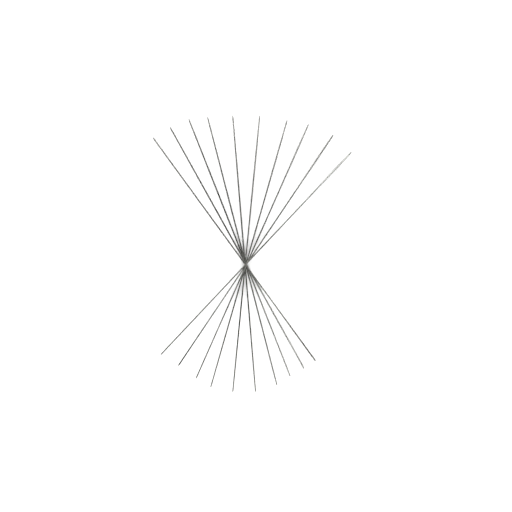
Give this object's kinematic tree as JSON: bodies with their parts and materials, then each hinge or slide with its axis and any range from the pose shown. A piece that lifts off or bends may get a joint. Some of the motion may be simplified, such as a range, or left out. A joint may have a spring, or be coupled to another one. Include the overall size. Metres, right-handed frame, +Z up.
{
  "type": "double pointed needles",
  "caption": "Slim straight knitting needles of plated steel wire, pointed at both ends, fanned out in a low pile and crossing a little past their middles.",
  "frame": {"origin": "middle of the fan's footprint, on the table that the needles lie on", "axes": "+Y towards the fanned-out long points, +X to the right seen from above, +Z up from the table"},
  "size_m": [0.144, 0.1992, 0.0179],
  "materials": {
    "needle_steel": "nickel-plated steel wire, satin, ground at the points"
  },
  "bodies": {
    "needle_01": {"needle_01": "needle_steel"},
    "needle_02": {"needle_02": "needle_steel"},
    "needle_03": {"needle_03": "needle_steel"},
    "needle_04": {"needle_04": "needle_steel"},
    "needle_05": {"needle_05": "needle_steel"},
    "needle_06": {"needle_06": "needle_steel"},
    "needle_07": {"needle_07": "needle_steel"},
    "needle_08": {"needle_08": "needle_steel"},
    "needle_09": {"needle_09": "needle_steel"},
    "needle_10": {"needle_10": "needle_steel"}
  },
  "joints": [
    {"name": "needle_02_swing", "type": "hinge", "parent": "needle_01", "child": "needle_02", "pos_m": [-0.00194, -0.0126, 0], "axis": [0, 0, 1], "range_deg": [-10, 4]},
    {"name": "needle_03_swing", "type": "hinge", "parent": "needle_02", "child": "needle_03", "pos_m": [-0.00467, -0.00767, 0], "axis": [0, 0, 1], "range_deg": [-10, 4.5]},
    {"name": "needle_04_swing", "type": "hinge", "parent": "needle_03", "child": "needle_04", "pos_m": [-0.00528, -0.00613, 0], "axis": [0, 0, 1], "range_deg": [-10, 4]},
    {"name": "needle_05_swing", "type": "hinge", "parent": "needle_04", "child": "needle_05", "pos_m": [-0.0054, -0.00566, 0], "axis": [0, 0, 1], "range_deg": [-10, 6.8]},
    {"name": "needle_06_swing", "type": "hinge", "parent": "needle_05", "child": "needle_06", "pos_m": [-0.00512, -0.00906, 0], "axis": [0, 0, 1], "range_deg": [-10, 7.3]},
    {"name": "needle_07_swing", "type": "hinge", "parent": "needle_06", "child": "needle_07", "pos_m": [-0.00527, -0.01064, 0], "axis": [0, 0, 1], "range_deg": [-10, 7.4]},
    {"name": "needle_08_swing", "type": "hinge", "parent": "needle_07", "child": "needle_08", "pos_m": [-0.00546, -0.01131, 0], "axis": [0, 0, 1], "range_deg": [-10, 4.9]},
    {"name": "needle_09_swing", "type": "hinge", "parent": "needle_08", "child": "needle_09", "pos_m": [-0.00385, -0.00765, 0], "axis": [0, 0, 1], "range_deg": [-10, 7]},
    {"name": "needle_10_swing", "type": "hinge", "parent": "needle_09", "child": "needle_10", "pos_m": [-0.00314, -0.0066, 0], "axis": [0, 0, 1], "range_deg": [-10, 6.4]}
  ]
}
